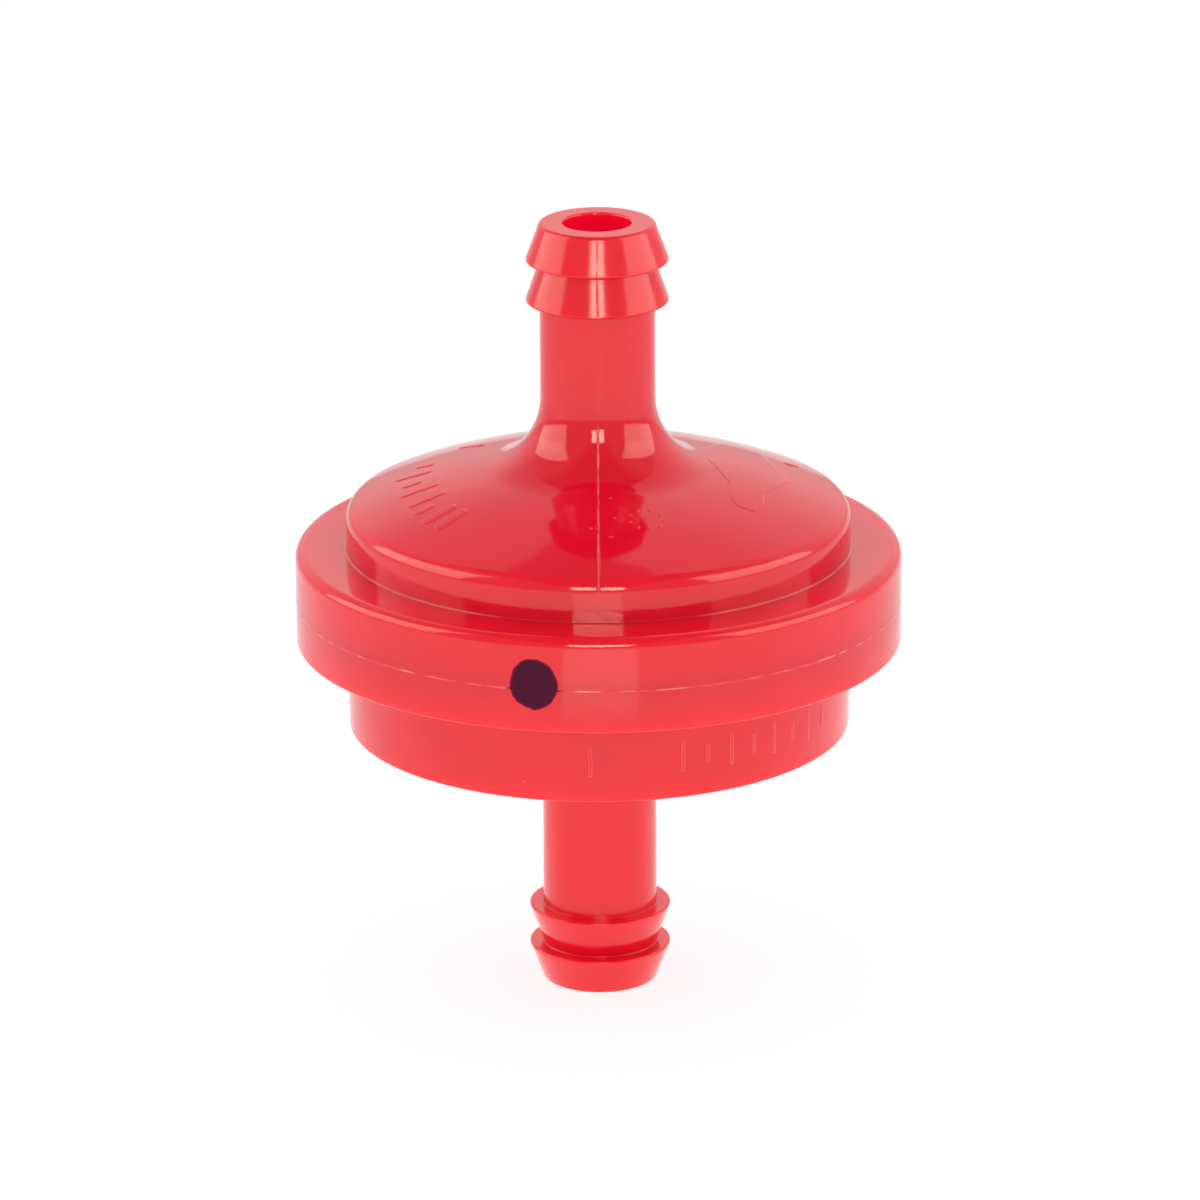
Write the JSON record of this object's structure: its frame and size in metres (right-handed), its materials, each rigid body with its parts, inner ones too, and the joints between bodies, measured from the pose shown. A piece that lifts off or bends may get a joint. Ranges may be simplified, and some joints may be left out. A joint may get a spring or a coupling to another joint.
{
  "type": "inline fuel filter",
  "caption": "Round inline fuel filter for small engines: two welded plastic shells with a barbed hose nipple at each end and a woven screen trapped between them.",
  "frame": {"origin": "centre of the outlet nipple's end, which the filter stands on", "axes": "+Z along the filter's axis from the outlet nipple to the inlet nipple, -Y towards the viewer of the picture"},
  "size_m": [0.0336, 0.0336, 0.0439],
  "materials": {
    "inlet_plastic": "glossy moulded red plastic",
    "outlet_plastic": "glossy moulded red plastic",
    "screen_nylon": "woven nylon thread with a moulded rim"
  },
  "bodies": {
    "root": {"upper_shell": "inlet_plastic", "lower_shell": "outlet_plastic", "filter_screen": "screen_nylon"}
  },
  "joints": []
}
